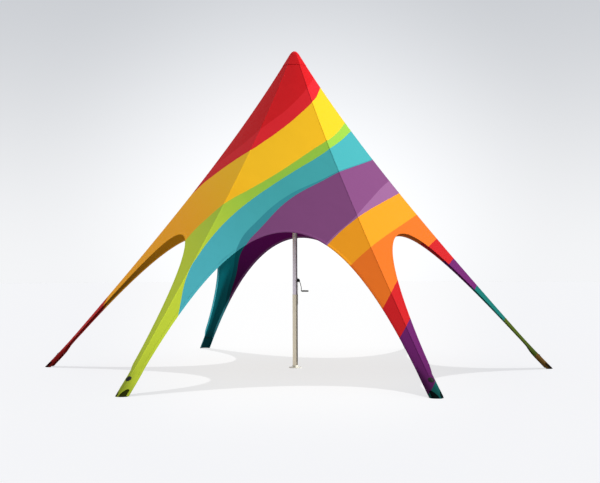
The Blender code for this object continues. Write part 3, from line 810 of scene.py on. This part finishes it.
# Peak hood. A doubled cap of the same cloth, sewn over the gores' tips so that the mast's
# head doesn't wear through them. It is six-sided below and rounds off over the head.
HOOD_SIDES = 48
HOOD_TIP = 5.042
HOOD_WALL = 0.003
HOOD_PROUD = 0.003       # how far the hood stands off the ridges under it
HOOD_LEVELS = (4.80, 4.82, 4.84, 4.86, 4.88, 4.90)
HOOD_RINGS = (           # above them: height, radius, and how round the section is
    (4.925, 0.1140, 0.0), (4.950, 0.0985, 0.1), (4.970, 0.0862, 0.2), (4.985, 0.0766, 0.3),
    (5.000, 0.0665, 0.4), (5.012, 0.0565, 0.55), (5.022, 0.0460, 0.7), (5.030, 0.0350, 0.8),
    (5.036, 0.0240, 0.9), (5.040, 0.0125, 1.0),
)
turns = [2 * pi * k / HOOD_SIDES for k in range(HOOD_SIDES)]


def hood_point(radius, turned_to, height, round_share):
    """A point of the hood's six-sided section, which fades into a circle at the tip."""
    turn = (turned_to + HALF_GORE) % (2 * HALF_GORE) - HALF_GORE
    flat = (1 - BULGE) * cos(HALF_GORE) / cos(turn) + BULGE
    flat += (1 - flat) * round_share
    point = radius * flat * heading(turned_to)
    point.z = height
    return point


def hood_skin(wall):
    """Rings of the hood from its hem to its tip, a wall's thickness inside its outside."""
    levels = [(height, ridge_radius(height) + HOOD_PROUD, 0.0) for height in HOOD_LEVELS]
    levels += HOOD_RINGS
    rings = []
    for height, radius, share in levels:
        drop = wall * share
        rings.append([hood_point(radius - wall, turn, height - drop, share) for turn in turns])
    return rings


bm = bmesh.new()
layers = []
for wall in (0.0, HOOD_WALL):
    rings = [[bm.verts.new(point) for point in ring] for ring in hood_skin(wall)]
    for low, high in zip(rings, rings[1:]):
        for k in range(HOOD_SIDES):
            after = (k + 1) % HOOD_SIDES
            bm.faces.new((low[k], low[after], high[after], high[k]))
    tip = bm.verts.new((0.0, 0.0, HOOD_TIP - wall))
    for k in range(HOOD_SIDES):
        bm.faces.new((rings[-1][k], rings[-1][(k + 1) % HOOD_SIDES], tip))
    layers.append(rings[0])
for k in range(HOOD_SIDES):
    after = (k + 1) % HOOD_SIDES
    bm.faces.new((layers[0][k], layers[0][after], layers[1][after], layers[1][k]))
bmesh.ops.recalc_face_normals(bm, faces=bm.faces[:])
hood_mesh = mesh_of(bm, "peak_hood")
lay_print(hood_mesh, [vert.co for vert in hood_mesh.vertices], 0.0)
hood_mesh.shade_smooth()
hood_mesh.set_sharp_from_angle(angle=radians(40))
hood = show("peak_hood", hood_mesh, printed_polyester)
hang(hood)
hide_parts("peak_cap")

HOOD_HEM_CUT = ((0.0, 0.0), (0.001, 0.0006), (0.021, 0.0006), (0.022, 0.0), (0.011, -0.001))
HOOD_FLARE = 1.6         # the hood slopes, so its hem goes out this much for each metre proud
rings = []
for turn in turns:
    ring = []
    for rise, proud in HOOD_HEM_CUT:
        height = HOOD_LEVELS[0] + rise
        radius = ridge_radius(height) + HOOD_PROUD + proud * HOOD_FLARE
        ring.append(hood_point(radius, turn, height, 0.0))
    rings.append(ring)
hood_cloth = stitched_cloth("stitched hem of the peak hood", (0.006, 0.016))
across = [rise for rise, proud in HOOD_HEM_CUT]
hood_hem = sewn_band(
    "peak_hood_hem", rings, across, run_of(rings, 1), 0.0, hood_cloth, closed=True
)
hang(hood_hem)


# Feet. A bow of black anodised aluminium sheet, in a pocket of the cloth turned wrong side
# out, keeps each leg's end round and spread. A black nylon rivet, over a wide washer of the
# same, pins it on the ridge.
BOW_SEAT = 0.0056        # depth of the bow's outer face under the cloth
BOW_WALL = 0.003
BOW_SPREAD = 0.75        # how far round the bow reaches, as a part of the cloth's own reach
BOW_COLUMNS = 12         # on each side of the ridge
BOW_ROWS = (0.0, 0.02, 0.05, 0.09, 0.13, 0.17, 0.194, BOW_HEIGHT)
POCKET_SPREAD = 0.90
POCKET_ROOM = 0.0004     # between the bow and the pocket's cloth
STUD_RADIUS = 0.016
STUD_HEIGHT = 0.009
STUD_PLACE = 0.210
WASHER_RADIUS = 0.036
WASHER_SHARE = 0.8       # its height is less than its width, because the ridge leans
WASHER_PROUD = 0.003
WASHER_ROWS = 12


def bead_grain(tree, shader, size, depth):
    """A fine even grain, its grit size and depth in metres.

    The real grain of moulded plastic and melted powder is under 0.3 mm. It is drawn 1 to 2 mm
    wide, or none would show.
    """
    place = add_node(tree, "TexCoord", {}).outputs["Object"]
    inputs = {"Vector": place, "Scale": 1 / size, "Detail": 3.0}
    grain = add_node(tree, "TexNoise", inputs).outputs["Fac"]
    bump = add_node(tree, "Bump", {"Height": grain, "Distance": depth, "Strength": 0.5})
    tree.links.new(bump.outputs["Normal"], shader.inputs["Normal"])
    return grain


def tinted(tree, shader, amount, dark, light):
    """Let a pattern move the colour between two close tones."""
    inputs = {0: amount, 6: linear(dark), 7: linear(light)}
    colour = add_node(tree, "Mix", inputs, data_type="RGBA")
    tree.links.new(colour.outputs[2], shader.inputs["Base Color"])


def grained(name, roughness, dark, light, size, depth, metallic=0.0, specular=0.5):
    """A finish whose own fine grain shows as a slight unevenness in tone and gloss."""
    material, tree, shader = new_finish(name, roughness, metallic, specular)
    tinted(tree, shader, bead_grain(tree, shader, size, depth), dark, light)
    return material


# Anodised, the sheet has a dull grey gleam. The nylon is matt, with a moulded grain, and the
# doubled cloth round the bow is painted almost black, as painted shade.
anodised_black = grained(
    "black anodised aluminium sheet", 0.45, "22241E", "34362E", 0.0015, 0.0001, metallic=1.0
)
black_nylon = grained(
    "moulded black nylon", 0.48, "0B0C08", "14150F", 0.0012, 0.00015, specular=0.15
)
# Painted shade: the pocket's outside is painted almost black.
shaded_pocket_cloth = reverse_side("dye printed polyester, doubled at the foot", 0.06, 0.06)


def turned_mesh(name, profile, steps, close=False):
    """A mesh turned about the upright axis from a profile of radii and heights."""
    bm = bmesh.new()
    spots = [bm.verts.new((radius, 0.0, height)) for radius, height in profile]
    edges = [bm.edges.new(pair) for pair in zip(spots, spots[1:])]
    if close:
        edges.append(bm.edges.new((spots[-1], spots[0])))
    bmesh.ops.spin(
        bm, geom=spots + edges, cent=(0.0, 0.0, 0.0), axis=(0.0, 0.0, 1.0), angle=2 * pi,
        steps=steps, use_merge=True,
    )
    bmesh.ops.remove_doubles(bm, verts=bm.verts[:], dist=0.00001)
    bmesh.ops.recalc_face_normals(bm, faces=bm.faces[:])
    mesh = mesh_of(bm, name)
    mesh.shade_smooth()
    mesh.set_sharp_from_angle(angle=radians(32))
    return mesh


def foot_layer(name, angle, spread, seat, wall, finish):
    """A layer round a foot's bow: its spread, its depth under the leg's cloth and its wall."""

    def surface(column, height, inset):
        side = 1 if column > 0 else -1
        return leg_point(angle, side, abs(column), height, seat + inset)

    columns = [spread * k / BOW_COLUMNS for k in range(-BOW_COLUMNS, BOW_COLUMNS + 1)]
    layer = cloth_shell(name, columns, BOW_ROWS, surface, wall, angle, finish, finish)
    hang(layer)
    return layer


stud_profile = (
    (0.0, STUD_HEIGHT), (0.0055, STUD_HEIGHT * 0.95), (0.0105, STUD_HEIGHT * 0.78),
    (0.0140, STUD_HEIGHT * 0.5), (STUD_RADIUS, STUD_HEIGHT * 0.32), (STUD_RADIUS, 0.0006),
    (0.0, 0.0006),
)
pockets = (
    ("outer", BOW_SEAT - POCKET_ROOM - CLOTH, shaded_pocket_cloth),
    ("inner", BOW_SEAT + BOW_WALL + POCKET_ROOM, show_through_and_shade),
)
for name, degrees_round in LEGS.items():
    angle = radians(degrees_round)
    bow = foot_layer(
        "bow_" + name, angle, BOW_SPREAD, BOW_SEAT, BOW_WALL, anodised_black
    )
    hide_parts("foot_bow_" + name)
    for word, seat, cloth in pockets:
        label = "bow_pocket_" + word + "_" + name
        foot_layer(label, angle, POCKET_SPREAD, seat, CLOTH, cloth)

    stud_mesh = turned_mesh("rivet_" + name, stud_profile, 24)
    outward = heading(angle)
    outward.z = ridge_slope(STUD_PLACE)
    seat = heading(angle) * ridge_radius(STUD_PLACE)
    seat.z = STUD_PLACE
    turn = outward.to_track_quat("Z", "Y").to_matrix().to_4x4()
    stud_mesh.transform(Matrix.Translation(seat) @ turn)
    stud = show("rivet_" + name, stud_mesh, black_nylon)
    hang(stud)
    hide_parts("foot_stud_" + name)

    rings = []
    for k in range(WASHER_ROWS + 1):
        swing = pi * k / WASHER_ROWS
        half = max(0.002, WASHER_RADIUS * sin(swing))
        cut = [(-half, -0.0002), (-half + 0.001, WASHER_PROUD)]
        cut += [(half * part / 4, WASHER_PROUD) for part in range(-3, 4)]
        cut += [(half - 0.001, WASHER_PROUD), (half, -0.0002), (0.0, -0.001)]
        height = STUD_PLACE - WASHER_RADIUS * WASHER_SHARE * cos(swing)
        rings.append(ridge_ring(angle, height, cut))
    lengths = run_of(rings, 5)
    washer = sewn_band("washer_" + name, rings, [0.0] * len(cut), lengths, angle, black_nylon)
    hang(washer)


# Mast. Two drawn aluminium tubes slide in each other. The lower one is tinted a warm
# champagne and the upper one a cooler grey, as painted reflection of the pale floor and of
# the canopy. A nylon dome on top spreads the load on the peak's padded cloth, and a round,
# powder coated steel plate with a welded socket stands below.
UPPER_RADIUS = 0.038
LOWER_RADIUS = 0.041
TUBE_WALL = 0.0022
TUBE_EDGE = 0.0006
LOWER_FOOT = 0.0083
LOWER_TOP = 1.16
UPPER_FOOT = 0.62
HEAD_SEAT = 4.83
HEAD_TOP = 5.015
BASE_RADIUS = 0.100
BASE_THICK = 0.008
COLLAR_TOP = 0.0383
FREE_PLAY = 0.0003       # between pieces that slide, turn or are fitted together
ROUND_STEPS = 96
SATIN = 0.7              # etched and anodised: its clear oxide skin scatters part of the light
DRAWN_LINES = (1 / 0.004, 1 / 0.004, 1 / 0.6)    # 4 mm apart, coarser than real, 0.6 m long
GLOSS_SPREAD = 0.08


def drawn_aluminium(name, dark, light, roughness):
    """Anodised tube: fine lengthwise lines from the drawing die, and a soft metal gleam."""
    material, tree, shader = new_finish(name, roughness, SATIN)
    place = add_node(tree, "TexCoord", {}).outputs["Object"]
    drawn = add_node(tree, "Mapping", {"Vector": place, "Scale": DRAWN_LINES})
    inputs = {"Vector": drawn, "Scale": 1.0, "Detail": 4.0}
    lines = add_node(tree, "TexNoise", inputs).outputs["Fac"]
    tinted(tree, shader, lines, dark, light)
    low, high = roughness - GLOSS_SPREAD, roughness + GLOSS_SPREAD
    rough = add_node(tree, "MapRange", {"Value": lines, "To Min": low, "To Max": high})
    tree.links.new(rough.outputs["Result"], shader.inputs["Roughness"])
    return material


# Painted reflection: a warm tint on the lower tube, a cool grey on the upper one.
upper_alloy = drawn_aluminium("anodised aluminium, tinted grey by painted reflection", "D6CDD7", "F2E9F3", 0.30)
lower_alloy = drawn_aluminium("anodised aluminium, tinted champagne by painted reflection", "DDD1BA", "F0E5CF", 0.32)

# The powder coat is a smooth, pale half gloss with the faint pebbling of melted powder.
powder_coat = grained("powder coated steel", 0.5, "EFECDC", "F8F5E8", 0.002, 0.0002)


def tube_profile(radius, bottom, top):
    """Down the outside, then back up the bore, with small chamfers at both ends."""
    bore, edge = radius - TUBE_WALL, radius - TUBE_EDGE
    outside = ((edge, top), (radius, top - TUBE_EDGE), (radius, bottom + TUBE_EDGE))
    return (*outside, (edge, bottom), (bore, bottom), (bore, top))


def carry(piece, body, slot, *nodes):
    """Give a rigid piece its body, and hide any CAD node that it stands for. Its slot is not used.
    """
    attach(piece, body)
    if nodes:
        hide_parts(*nodes)


lower_profile = tube_profile(LOWER_RADIUS, LOWER_FOOT, LOWER_TOP)
upper_profile = tube_profile(UPPER_RADIUS, UPPER_FOOT, HEAD_SEAT - FREE_PLAY)
plate_profile = (
    (0.0, BASE_THICK), (BASE_RADIUS - 0.003, BASE_THICK),
    (BASE_RADIUS - 0.001, BASE_THICK - 0.0008), (BASE_RADIUS, BASE_THICK - 0.003),
    (BASE_RADIUS, 0.0), (0.0, 0.0),
)
socket_profile = (
    (LOWER_RADIUS + FREE_PLAY, COLLAR_TOP),
    (LOWER_RADIUS + 0.0033, COLLAR_TOP),
    (LOWER_RADIUS + 0.0043, COLLAR_TOP - 0.001),
    (LOWER_RADIUS + 0.0043, LOWER_FOOT + 0.004),
    (LOWER_RADIUS + 0.0060, LOWER_FOOT + 0.0015),
    (LOWER_RADIUS + 0.0080, LOWER_FOOT - FREE_PLAY),
    (LOWER_RADIUS + FREE_PLAY, LOWER_FOOT - FREE_PLAY),
)
DOME = (                 # radii and depths below the mast's top
    (0.0, 0.0), (0.008, 0.0003), (0.014, 0.0035), (0.020, 0.010), (0.026, 0.019),
    (0.033, 0.032), (0.040, 0.047), (0.048, 0.063), (0.056, 0.081), (0.0605, 0.094),
    (0.062, 0.104),
)
dome_profile = [(radius, HEAD_TOP - depth) for radius, depth in DOME]
dome_profile += [(0.062, HEAD_SEAT + 0.002), (0.060, HEAD_SEAT), (0.0, HEAD_SEAT)]
mast_pieces = (
    ("lower_tube", lower_profile, lower_alloy, "canopy_and_base", "mast_alloy", "mast_lower_tube"),
    ("upper_tube", upper_profile, upper_alloy, "upper_mast", "mast_alloy", "mast_upper_tube"),
    ("ground_plate", plate_profile, powder_coat, "canopy_and_base", "base_steel", "base_plate"),
    ("welded_socket", socket_profile, powder_coat, "canopy_and_base", "base_steel", "base_socket"),
    ("mast_dome", dome_profile, black_nylon, "upper_mast", "black_nylon", "mast_head"),
)
mast = {}
for name, profile, finish, body, slot, node in mast_pieces:
    hollow = profile[0][0] > 0
    mast[name] = show(name, turned_mesh(name, profile, ROUND_STEPS, hollow), finish)
    carry(mast[name], body, slot, node)

# The pad of folded cloth fills the hood's tip over the dome: its radii and heights.
pad_profile = ((0.0, 5.0155), (0.012, 5.0153), (0.018, 5.024), (0.015, 5.0335), (0.0, 5.0385))
pad = show("peak_pad", turned_mesh("peak_pad", pad_profile, 32), printed_polyester)
hang(pad)


# Studio flag. A sheet of black cloth curves round the right of the mast, out of the picture,
# and the side light is kept off the tubes, so that they gleam in front and on the left and
# turn dark on the right.
FLAG_RADIUS = 0.5
FLAG_HEIGHT = 3.0
FLAG_TURNS = range(55, 181, 5)   # degrees from the front, a point for each

flag_cloth, tree, shader = new_finish("black flag cloth", 1.0, specular=0.0)
shader.inputs["Base Color"].default_value = (0.0, 0.0, 0.0, 1.0)
flag_foot = [heading(radians(turn)) * FLAG_RADIUS for turn in FLAG_TURNS]
points = [Vector((p.x, p.y, height)) for height in (0.0, FLAG_HEIGHT) for p in flag_foot]
size = len(flag_foot)
faces = [(k, k + 1, k + 1 + size, k + size) for k in range(size - 1)]
flag_mesh = bpy.data.meshes.new("studio_flag")
flag_mesh.from_pydata(points, [], faces)
flag = show("studio_flag", flag_mesh, flag_cloth)
flag.visible_camera = False
flag.visible_diffuse = False
flag.visible_shadow = False
for word in ("lower_tube", "upper_tube"):
    flagged.objects.link(mast[word])
for entry in flagged.collection_objects:
    entry.light_linking.link_state = "EXCLUDE"


# Crank drive. A zinc plated strip with a row of holes is fixed up the mast's right side, and
# a gear in the black nylon housing climbs it as the crank turns.
HOUSING_FACE = 0.0673
HOUSING_HALF = 0.020
HOUSING_HIGH = 0.0275
CRANK_HEIGHT = 1.385
SCREW_INSET = 0.005      # from the housing's edges

# Bright zinc is a cool grey metal, slightly mottled by its spangle.
zinc_plate = grained(
    "zinc plated steel", 0.36, "8C8984", "B4B1AA", 0.004, 0.0001, metallic=1.0
)

for node, finish, slot, edge_name, width in (
    ("rack_strip", zinc_plate, "zinc_steel", "broken edges", 0.0004),
    ("gear_housing", black_nylon, "black_nylon", "moulded radius", 0.0005),
):
    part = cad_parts[node]
    for material_slot in part.material_slots:
        material_slot.material = finish
    edge = part.modifiers.new(edge_name, "BEVEL")
    edge.width = width
    edge.segments = 2
    edge.limit_method = "ANGLE"

screw_profile = (
    (0.0, 0.0006), (0.0009, 0.0006), (0.0010, 0.0012), (0.0020, 0.0010),
    (0.0027, 0.0003), (0.0027, -0.0002), (0.0, -0.0002),
)
for k, (side, high) in enumerate(((-1, -1), (1, -1), (-1, 1), (1, 1))):
    screw_mesh = turned_mesh("housing_screw_%d" % k, screw_profile, 20)
    y = side * (HOUSING_HALF - SCREW_INSET)
    z = CRANK_HEIGHT + high * (HOUSING_HIGH - SCREW_INSET)
    place = Matrix.Translation((HOUSING_FACE, y, z))
    screw_mesh.transform(place @ Matrix.Rotation(pi / 2, 4, "Y"))
    carry(show("housing_screw_%d" % k, screw_mesh, zinc_plate), "upper_mast", "zinc_steel")


# Crank. A forged steel arm, black zinc plated, which leaves it a dark bronze gleam: its round
# boss keys onto the gear's shaft, it bends out past the mast, and its pin carries a hand grip
# that spins.
BOSS_START = HOUSING_FACE + 0.001
BOSS_LENGTH = 0.010
BOSS_END = BOSS_START + BOSS_LENGTH
BOSS_MIDDLE = BOSS_START + BOSS_LENGTH / 2
BOSS_RADIUS = 0.013
SHAFT_START = HOUSING_FACE - 0.012
SHAFT_RADIUS = 0.006
ARM_RADIUS = 0.0055
ELBOW_X = 0.0993
GRIP_HEIGHT = 1.215
GRIP_START = 0.1058
GRIP_END = 0.2108
GRIP_RADIUS = 0.0125
PIN_RADIUS = 0.0045
PIN_END = 0.2148


def lying(name, profile, steps, height, finish, close=False):
    """A turned piece laid along +X at a height, its profile given as radius and place in x."""
    mesh = turned_mesh(name, profile, steps, close)
    mesh.transform(Matrix.Translation((0.0, 0.0, height)) @ Matrix.Rotation(pi / 2, 4, "Y"))
    return show(name, mesh, finish)


black_zinc = grained(
    "black zinc plated steel", 0.42, "3B362F", "4F493F", 0.004, 0.0001, metallic=1.0
)
boss_profile = (
    (0.0, SHAFT_START), (SHAFT_RADIUS, SHAFT_START), (SHAFT_RADIUS, BOSS_START),
    (BOSS_RADIUS - 0.001, BOSS_START), (BOSS_RADIUS, BOSS_START + 0.001),
    (BOSS_RADIUS, BOSS_END - 0.0015), (BOSS_RADIUS - 0.0015, BOSS_END),
    (0.006, BOSS_END), (0.005, BOSS_END - 0.0008), (0.0, BOSS_END - 0.0008),
)
boss = lying("crank_boss", boss_profile, 48, CRANK_HEIGHT, black_zinc)
carry(boss, "crank", "zinc_steel", "crank_arm")

ARM_ROUTE = (
    (BOSS_MIDDLE, 0.0, CRANK_HEIGHT - 0.003),
    (BOSS_MIDDLE + 0.003, 0.0, CRANK_HEIGHT - 0.025),
    (BOSS_MIDDLE + 0.013, 0.0, CRANK_HEIGHT - 0.060),
    (ELBOW_X - 0.0046, 0.0, CRANK_HEIGHT - 0.0935),
    (ELBOW_X - 0.0008, 0.0, CRANK_HEIGHT - 0.112),
    (ELBOW_X, 0.0, CRANK_HEIGHT - 0.130),
    (ELBOW_X, 0.0, CRANK_HEIGHT - 0.150),
    (ELBOW_X, 0.0, GRIP_HEIGHT - ARM_RADIUS),
)
arm_curve = bpy.data.curves.new("crank_bar", "CURVE")
arm_curve.dimensions = "3D"
arm_curve.bevel_depth = ARM_RADIUS
arm_curve.bevel_resolution = 6
arm_curve.resolution_u = 8
arm_curve.use_fill_caps = True
spline = arm_curve.splines.new("BEZIER")
spline.bezier_points.add(len(ARM_ROUTE) - 1)
for point, place in zip(spline.bezier_points, ARM_ROUTE):
    point.co = place
    point.handle_left_type = "AUTO"
    point.handle_right_type = "AUTO"
arm_curve.materials.append(black_zinc)
arm = bpy.data.objects.new("crank_bar", arm_curve)
bpy.context.scene.collection.objects.link(arm)
carry(arm, "crank", "zinc_steel")

pin_profile = (
    (0.0, ELBOW_X - ARM_RADIUS), (PIN_RADIUS, ELBOW_X - ARM_RADIUS),
    (PIN_RADIUS, PIN_END - 0.003), (0.008, PIN_END - 0.003), (0.008, PIN_END - 0.001),
    (0.006, PIN_END), (0.0, PIN_END),
)
carry(lying("crank_pin", pin_profile, 40, GRIP_HEIGHT, black_zinc), "crank", "zinc_steel")


# Hand grip. A moulded PVC sleeve, dark olive black, with shallow grooves for the fingers
# and a bore that runs free on the crank's pin.
GROOVE_PITCH = 0.0105
GROOVE_DEPTH = 0.0009
GRIP_STEPS = 72
GRIP_EDGE = 0.003        # how much its end faces are smaller all round
GRIP_LIP = 0.002         # length of the bevel at both ends,
ROUND_OFF = (0.006, 0.0022)      # and of the rounding after it, with its depth
SMOOTH_END = 0.009       # without grooves

grip_pvc = grained("moulded PVC sleeve", 0.55, "25281C", "34382A", 0.0012, 0.00015)

grip_length = GRIP_END - GRIP_START
bore = PIN_RADIUS + FREE_PLAY
grip_profile = [(bore, GRIP_START), (GRIP_RADIUS - GRIP_EDGE, GRIP_START)]
for k in range(GRIP_STEPS + 1):
    run = GRIP_LIP + (grip_length - 2 * GRIP_LIP) * k / GRIP_STEPS
    end = min(run, grip_length - run)
    round_off = ROUND_OFF[1] * max(0.0, 1 - (end - GRIP_LIP) / ROUND_OFF[0]) ** 2
    groove = GROOVE_DEPTH * max(0.0, cos(2 * pi * run / GROOVE_PITCH)) ** 3
    if end < SMOOTH_END:
        groove = 0.0
    grip_profile.append((GRIP_RADIUS - round_off - groove, GRIP_START + run))
grip_profile += [(GRIP_RADIUS - GRIP_EDGE, GRIP_END), (bore, GRIP_END)]
grip = lying("hand_grip", grip_profile, 48, GRIP_HEIGHT, grip_pvc, close=True)
carry(grip, "grip", "grip_plastic", "crank_grip")
